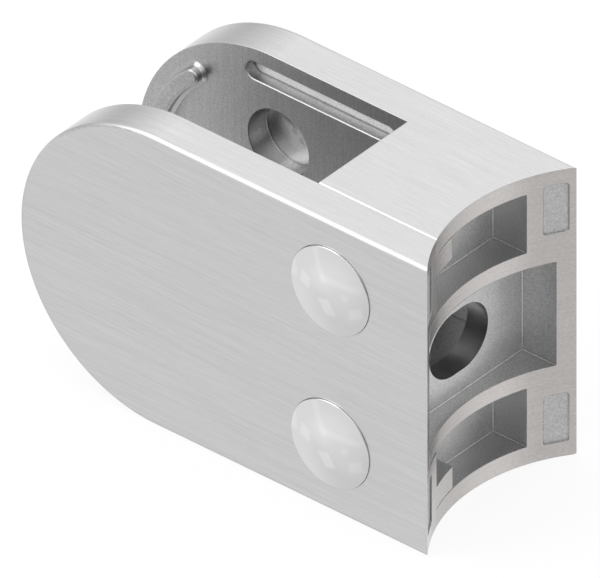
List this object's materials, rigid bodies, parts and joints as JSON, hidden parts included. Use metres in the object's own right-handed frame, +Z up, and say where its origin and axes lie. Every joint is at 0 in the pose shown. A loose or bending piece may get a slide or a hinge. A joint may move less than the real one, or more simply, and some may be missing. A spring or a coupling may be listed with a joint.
{
  "type": "glass panel clamp",
  "caption": "Stainless clamp that holds the edge of a glass panel between two plates with a round end and bolts to a round post by a hollow curved saddle.",
  "frame": {"origin": "deepest line of the post saddle, at mid thickness and mid height", "axes": "+X from the glass to the post, square to the post; +Y from the front plate to the back of the body; +Z up along the post"},
  "size_m": [0.0681, 0.0308, 0.045],
  "materials": {
    "satin_steel": "lengthwise brushed outside, fine blasted inside the slot and the pockets",
    "screw_steel": "plain rolled",
    "polished_steel": "polished"
  },
  "bodies": {
    "back": {"rear_body": "satin_steel"},
    "front": {"front_plate": "satin_steel", "upper_screw_cap": "polished_steel", "lower_screw_cap": "polished_steel"},
    "upper_screw": {"upper_clamp_screw": "screw_steel"},
    "lower_screw": {"lower_clamp_screw": "screw_steel"}
  },
  "joints": [
    {"name": "plate_slide", "type": "slide", "parent": "back", "child": "front", "axis": [0, -1, 0], "range_m": [0, 0.012]},
    {"name": "upper_screw_turn", "type": "hinge", "parent": "front", "child": "upper_screw", "pos_m": [-0.01095, 0, 0.012], "axis": [0, -1, 0], "range_deg": [0, 4320]},
    {"name": "lower_screw_turn", "type": "hinge", "parent": "front", "child": "lower_screw", "pos_m": [-0.01095, 0, -0.012], "axis": [0, -1, 0], "range_deg": [0, 4320]}
  ],
  "couplings": [
    {"joint": "upper_screw_turn", "follows": "plate_slide", "rad_per_m": 6283.2},
    {"joint": "lower_screw_turn", "follows": "plate_slide", "rad_per_m": 6283.2}
  ]
}
